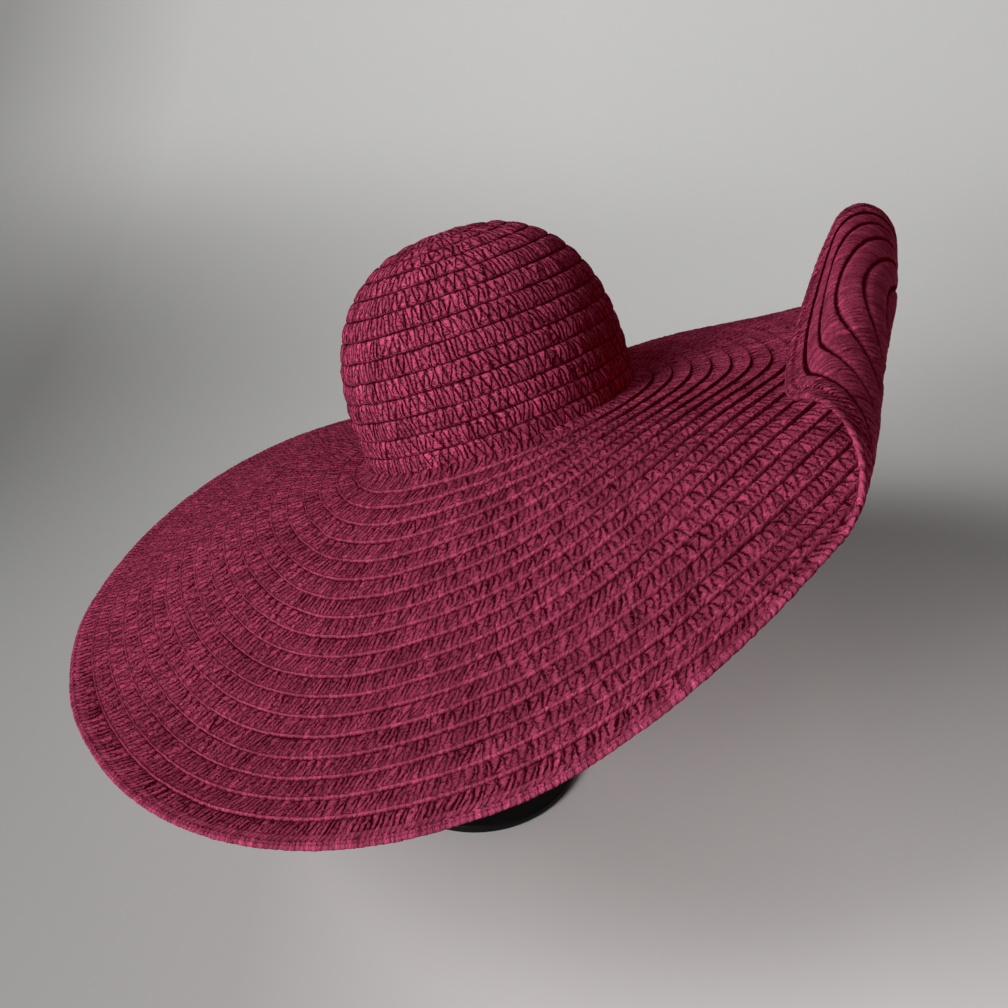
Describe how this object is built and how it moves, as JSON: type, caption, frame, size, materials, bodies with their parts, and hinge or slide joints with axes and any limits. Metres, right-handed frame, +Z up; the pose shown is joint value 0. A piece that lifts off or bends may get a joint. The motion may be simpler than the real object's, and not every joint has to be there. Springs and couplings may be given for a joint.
{
  "type": "straw hat on display stand",
  "caption": "Extra-wide floppy sun hat of sewn straw braid with one brim side rolled over, resting on a plain stand with a round black foot",
  "frame": {"origin": "centre of the underside of the stand's foot, on the surface that it stands on", "axes": "+Z up along the post, -Y towards the viewer, +X to the viewer's right, where the brim is rolled over"},
  "size_m": [0.5919, 0.6201, 0.5152],
  "materials": {
    "crown_straw": "sewn straw braid",
    "brim_straw": "sewn straw braid",
    "edge_straw": "sewn straw braid, folded",
    "pad_foam": "matt cover over foam",
    "post_paint": "satin black",
    "foot_paint": "matt black"
  },
  "bodies": {
    "root": {"crown": "crown_straw", "brim": "brim_straw", "brim_edge": "edge_straw", "stand_head": "pad_foam", "stand_post": "post_paint", "stand_foot": "foot_paint"}
  },
  "joints": []
}
